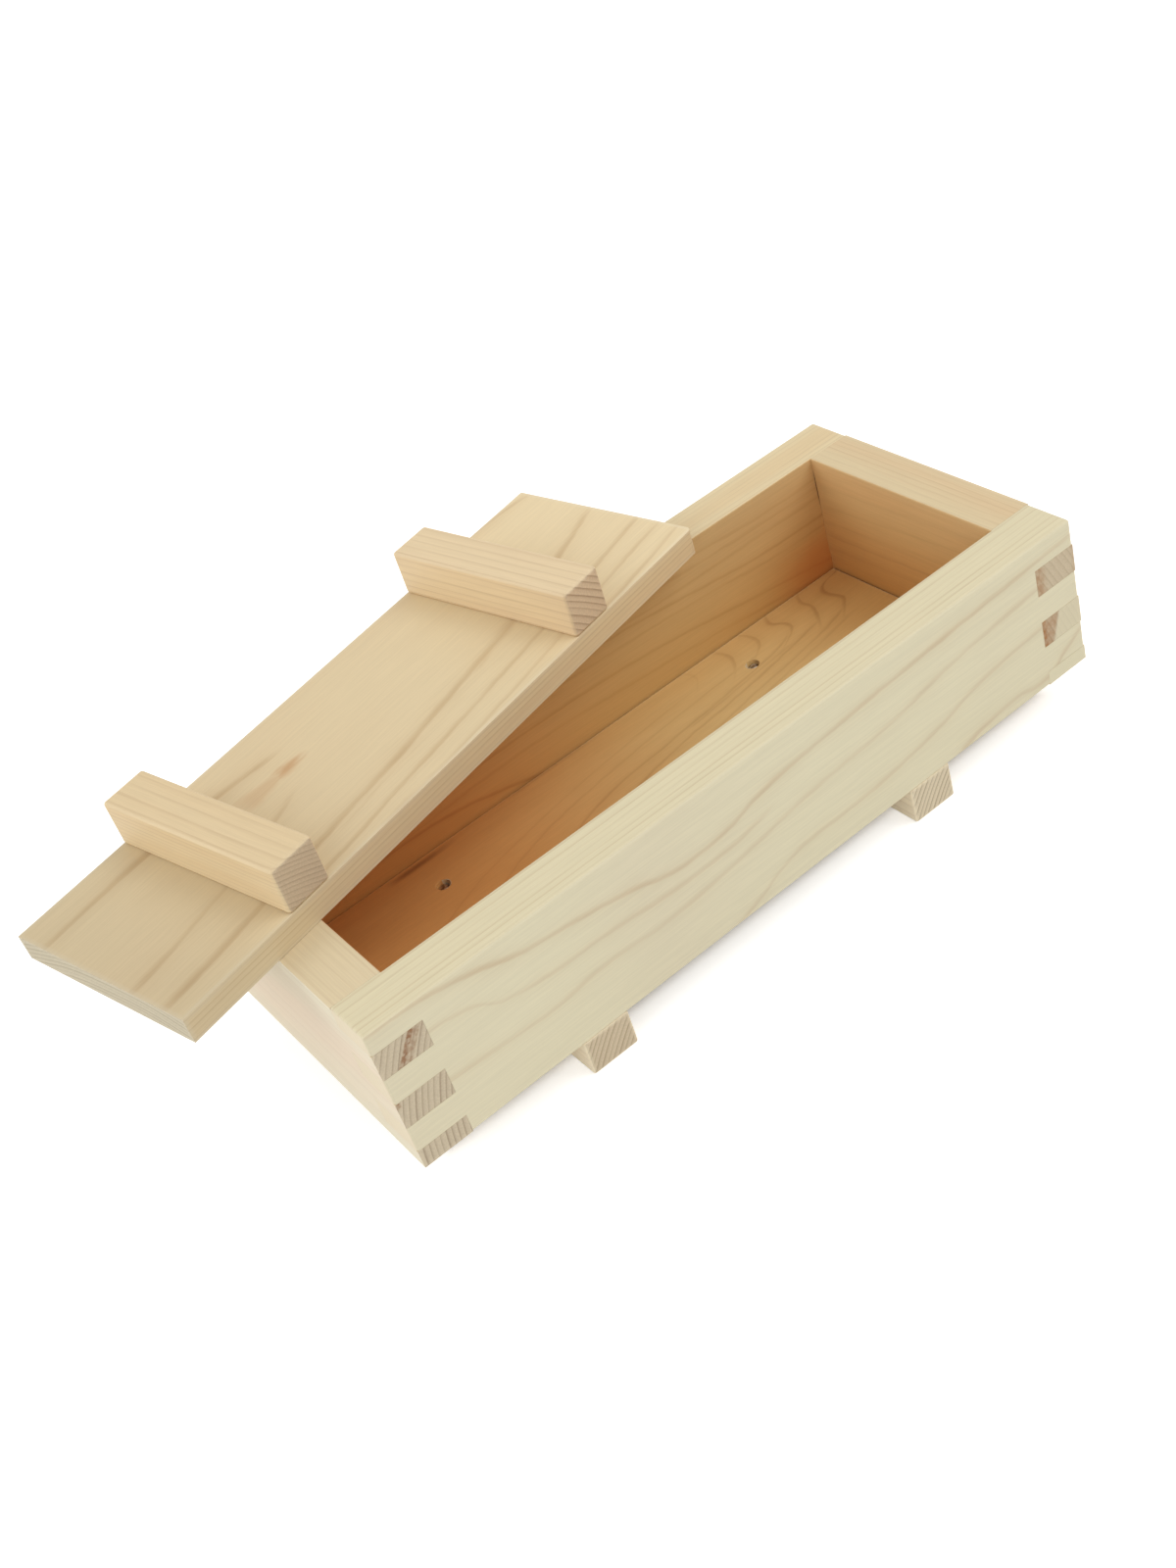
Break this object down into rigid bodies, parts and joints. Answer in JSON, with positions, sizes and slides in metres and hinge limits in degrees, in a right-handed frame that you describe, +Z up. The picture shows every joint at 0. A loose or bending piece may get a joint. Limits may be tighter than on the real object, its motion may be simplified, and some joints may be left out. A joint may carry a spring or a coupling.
{
  "type": "sushi rice mould press",
  "caption": "Wooden pressed-sushi mould: a finger-jointed frame that lifts off a footed base board, with a handled press board lying across its rim.",
  "frame": {"origin": "centre of the whole part's footprint, the press included, on the surface that the feet stand on", "axes": "+X along the mould to the right end wall, +Y to the rear wall, +Z up out of the mould's mouth"},
  "size_m": [0.284, 0.1472, 0.0827],
  "materials": {
    "frame_wood": "planed pale cypress, unfinished",
    "base_wood": "planed cypress, warmed by use, unfinished",
    "foot_wood": "planed pale cypress, unfinished",
    "press_wood": "planed pale cypress, unfinished",
    "handle_wood": "planed quarter-sawn cypress, unfinished",
    "nail_steel": "plain wire nail, dull"
  },
  "bodies": {
    "base": {"base_board": "base_wood", "left_foot": "foot_wood", "right_foot": "foot_wood", "base_nails": "nail_steel"},
    "frame": {"front_wall": "frame_wood", "rear_wall": "frame_wood", "left_end_wall": "frame_wood", "right_end_wall": "frame_wood"},
    "press": {"press_board": "press_wood", "left_handle": "handle_wood", "right_handle": "handle_wood", "press_nails": "nail_steel"}
  },
  "joints": [
    {"name": "frame_lift", "type": "slide", "parent": "base", "child": "frame", "axis": [0, 0, 1], "range_m": [0, 0.06]},
    {"name": "press_lift", "type": "slide", "parent": "frame", "child": "press", "axis": [0, 0, 1], "range_m": [0, 0.06]}
  ]
}
